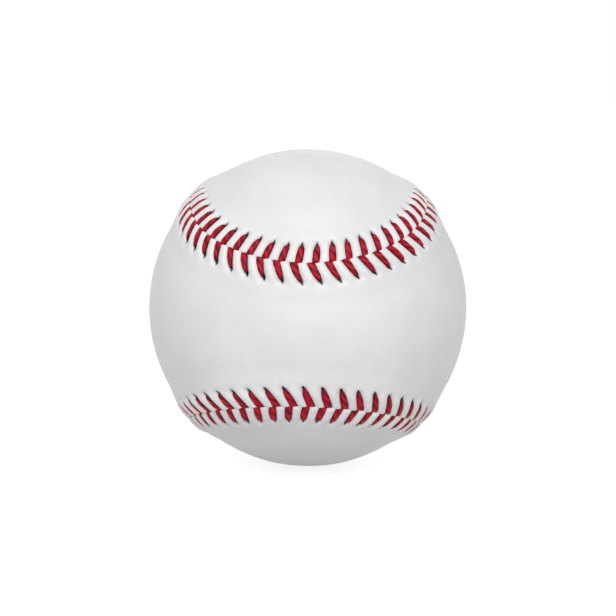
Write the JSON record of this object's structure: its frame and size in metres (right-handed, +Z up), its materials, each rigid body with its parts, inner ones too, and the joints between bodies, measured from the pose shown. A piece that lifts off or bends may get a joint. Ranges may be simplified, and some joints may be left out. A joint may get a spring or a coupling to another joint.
{
  "type": "baseball",
  "caption": "Sewn leather baseball: cork and rubber pill, wool windings, a two-piece figure-eight leather cover and raised red stitching.",
  "frame": {"origin": "centre of the ball", "axes": "+Z up, -Y towards the waist of the front cover panel, X along that panel from lobe to lobe"},
  "size_m": [0.0744, 0.0744, 0.0744],
  "materials": {
    "cork": "cork and rubber composition, matt",
    "black_rubber": "moulded, matt",
    "red_rubber": "moulded, matt",
    "grey_wool": "wound wool yarn",
    "white_wool": "wound wool yarn",
    "cotton_yarn": "fine wound cotton yarn",
    "cement": "thin dried film, satin",
    "white_leather": "smooth alum-tanned leather with fine grain, satin",
    "red_thread": "waxed twisted cotton thread"
  },
  "bodies": {
    "root": {"cork_centre": "cork", "black_shell_top": "black_rubber", "black_shell_bottom": "black_rubber", "shell_gasket": "red_rubber", "red_jacket": "red_rubber", "first_winding": "grey_wool", "second_winding": "white_wool", "third_winding": "grey_wool", "finishing_winding": "cotton_yarn", "cement_coat": "cement", "cover_panel_front": "white_leather", "cover_panel_back": "white_leather", "red_thread_a": "red_thread", "red_thread_b": "red_thread"}
  },
  "joints": []
}
